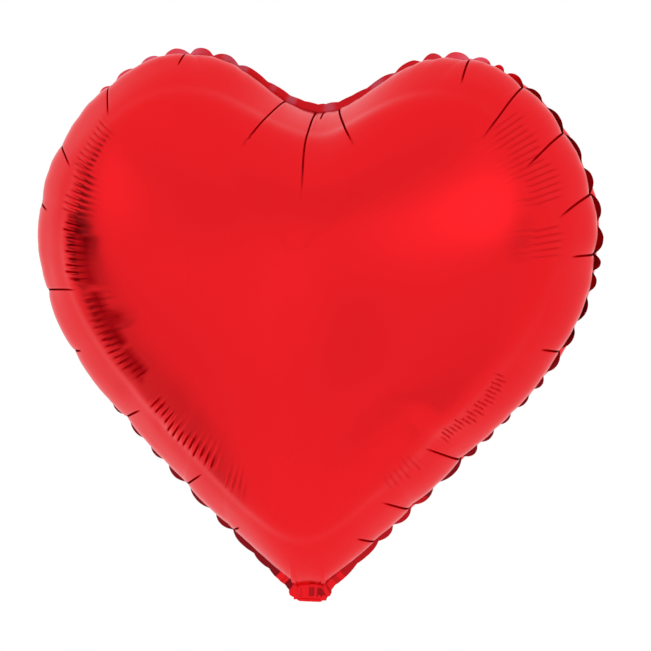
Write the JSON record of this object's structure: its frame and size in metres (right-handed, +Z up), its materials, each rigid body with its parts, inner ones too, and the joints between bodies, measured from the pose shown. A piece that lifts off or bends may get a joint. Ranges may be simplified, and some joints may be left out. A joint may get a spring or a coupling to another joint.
{
  "type": "heart-shaped foil balloon",
  "caption": "Inflated heart-shaped foil balloon with a heat-sealed edge, a film valve and a tail that folds behind its tip.",
  "frame": {"origin": "middle of the crease at the heart's tip, where the tail folds and a ribbon is tied", "axes": "+Z up from the tip to the notch, -Y towards the front panel, +X to the right seen from the front"},
  "size_m": [0.365, 0.196, 0.3535],
  "materials": {
    "red_foil": "bright metallised film, red lacquer",
    "red_foil_tail": "bright metallised film, red lacquer",
    "clear_film": "clear polyethylene film"
  },
  "bodies": {
    "balloon": {"front_panel": "red_foil", "back_panel": "red_foil", "valve_front_film": "clear_film", "valve_back_film": "clear_film"},
    "tail": {"tail_front_layer": "red_foil_tail", "tail_back_layer": "red_foil_tail", "tail_valve_front_film": "clear_film", "tail_valve_back_film": "clear_film"}
  },
  "joints": [
    {"name": "tail_fold", "type": "hinge", "parent": "balloon", "child": "tail", "pos_m": [0, 0, 0], "axis": [-1, 0, 0], "range_deg": [0, 114]}
  ]
}
